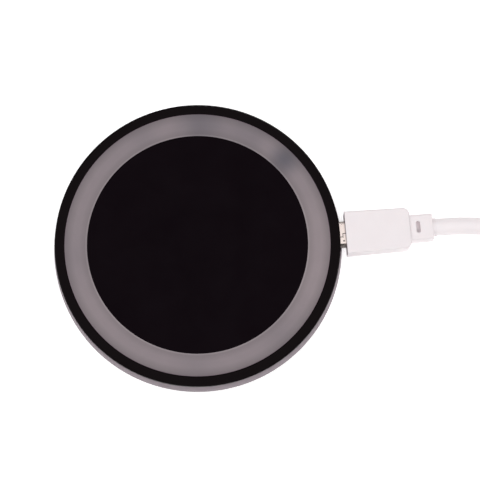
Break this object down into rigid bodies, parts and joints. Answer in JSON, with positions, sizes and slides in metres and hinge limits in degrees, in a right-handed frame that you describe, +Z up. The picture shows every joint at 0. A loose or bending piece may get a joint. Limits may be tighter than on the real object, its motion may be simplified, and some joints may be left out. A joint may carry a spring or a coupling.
{
  "type": "wireless charging pad",
  "caption": "Round wireless charging pad with a frosted light ring, powered by a plug-in micro USB cord with a USB A plug.",
  "frame": {"origin": "on the table under the middle of the round pad, at the underside of its feet", "axes": "+Z up through the charging face; +X from the middle of the pad out of its port, along the micro plug; +Y to the left of the plug seen from above"},
  "size_m": [0.1866, 0.0875, 0.009],
  "materials": {
    "black_cover": "soft matt black",
    "black_bezel": "satin black",
    "frosted_shell": "frosted translucent",
    "black_base": "fine spark texture",
    "label_film": "satin film, blank",
    "foot_rubber": "matt",
    "screw_steel": "black-passivated",
    "adhesive_film": "matt film",
    "board_laminate": "solder mask",
    "lamp_body": "clear lens on white body",
    "chip_body": "matt",
    "ceramic_body": "fired ceramic",
    "ferrite": "sintered",
    "can_metal": "satin",
    "copper_wire": "enamelled copper",
    "bead_glass": "epoxy bead",
    "plated_steel": "nickel plated",
    "black_plastic": "moulded",
    "gold_contact": "gold flash",
    "white_mould": "soft white PVC",
    "white_jacket": "satin PVC",
    "tie_black": "woven hook and loop strap"
  },
  "bodies": {
    "pad": {"top_disc": "black_cover", "disc_adhesive": "adhesive_film", "top_bezel": "black_bezel", "upper_shell": "frosted_shell", "bottom_cover": "black_base", "rating_label": "label_film", "rubber_feet": "foot_rubber", "case_screws": "screw_steel", "circuit_board": "board_laminate", "lamps": "lamp_body", "lamp_resistors": "chip_body", "controller_chip": "chip_body", "bridge_transistors": "chip_body", "resonant_capacitors": "ceramic_body", "input_capacitors": "ceramic_body", "power_inductor": "ferrite", "clock_crystal": "can_metal", "small_passives": "chip_body", "ferrite_tape": "adhesive_film", "ferrite_shield": "ferrite", "transmitter_coil": "copper_wire", "coil_leads": "copper_wire", "coil_adhesive": "adhesive_film", "thermistor": "bead_glass", "port_shell": "plated_steel", "port_insulator": "black_plastic", "port_contacts": "gold_contact"},
    "cable": {"micro_plug_shell": "plated_steel", "micro_plug_insulator": "black_plastic", "micro_plug_contacts": "gold_contact", "micro_plug_overmould": "white_mould", "micro_plug_strain_relief": "white_mould", "cord_lead": "white_jacket", "cord_coil": "white_jacket", "cord_tail": "white_jacket", "cord_tie": "tie_black", "usb_a_strain_relief": "white_mould", "usb_a_overmould": "white_mould", "usb_a_shell": "plated_steel", "usb_a_insulator": "black_plastic", "usb_a_contacts": "gold_contact"},
    "latch": {"micro_plug_latch": "plated_steel"}
  },
  "joints": [
    {"name": "plug_slide", "type": "slide", "parent": "pad", "child": "cable", "axis": [1, 0, 0], "range_m": [0, 0.008]},
    {"name": "latch_flex", "type": "hinge", "parent": "cable", "child": "latch", "pos_m": [0.037, 0, 0.00578], "axis": [0, 1, 0], "range_deg": [0, 4.5], "stiffness_Nm_per_rad": 0.09, "springref_deg": 4.5}
  ]
}
